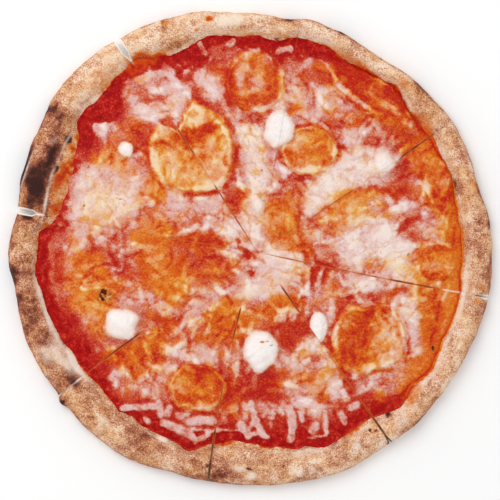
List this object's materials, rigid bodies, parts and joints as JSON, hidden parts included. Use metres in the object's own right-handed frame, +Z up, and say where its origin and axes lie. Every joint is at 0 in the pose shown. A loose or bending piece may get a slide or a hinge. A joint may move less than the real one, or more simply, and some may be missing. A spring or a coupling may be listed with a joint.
{
  "type": "cheese pizza",
  "caption": "Whole round cheese pizza with a puffed charred rim, tomato base, melted grated cheese, round cheese slices and white dollops, cut into wedges.",
  "frame": {"origin": "middle of the underside, on the surface that the pizza lies on", "axes": "+Z up out of the topping, +Y away from the front, +X to the right"},
  "size_m": [0.322, 0.3157, 0.0155],
  "materials": {
    "baked_dough": "dry baked dough, tan with brown and black char",
    "tomato_sauce": "wet deep red tomato sauce",
    "melted_cheese": "soft shine, cream to pink where the sauce shows through",
    "smoked_cheese": "oily orange middle with a pale rim",
    "white_cheese": "soft white curd"
  },
  "bodies": {
    "root": {"cheese_1": "melted_cheese", "cheese_2": "melted_cheese", "cheese_3": "melted_cheese", "cheese_4": "melted_cheese", "cheese_5": "melted_cheese", "cheese_6": "melted_cheese", "cheese_7": "melted_cheese", "cheese_8": "melted_cheese", "crust_1": "baked_dough", "crust_2": "baked_dough", "crust_3": "baked_dough", "crust_4": "baked_dough", "crust_5": "baked_dough", "crust_6": "baked_dough", "crust_7": "baked_dough", "crust_8": "baked_dough", "dollop_1a": "white_cheese", "dollop_1b": "white_cheese", "dollop_2": "white_cheese", "dollop_3a": "white_cheese", "dollop_3b": "white_cheese", "dollop_4": "white_cheese", "dollop_5": "white_cheese", "dollop_6": "white_cheese", "dollop_7": "white_cheese", "round_10": "smoked_cheese", "round_1a": "smoked_cheese", "round_1b": "smoked_cheese", "round_2": "smoked_cheese", "round_3": "smoked_cheese", "round_4": "smoked_cheese", "round_5": "smoked_cheese", "round_6a": "smoked_cheese", "round_6b": "smoked_cheese", "round_7": "smoked_cheese", "round_8": "smoked_cheese", "round_9": "smoked_cheese", "sauce_1": "tomato_sauce", "sauce_2": "tomato_sauce", "sauce_3": "tomato_sauce", "sauce_4": "tomato_sauce", "sauce_5": "tomato_sauce", "sauce_6": "tomato_sauce", "sauce_7": "tomato_sauce", "sauce_8": "tomato_sauce"}
  },
  "joints": []
}
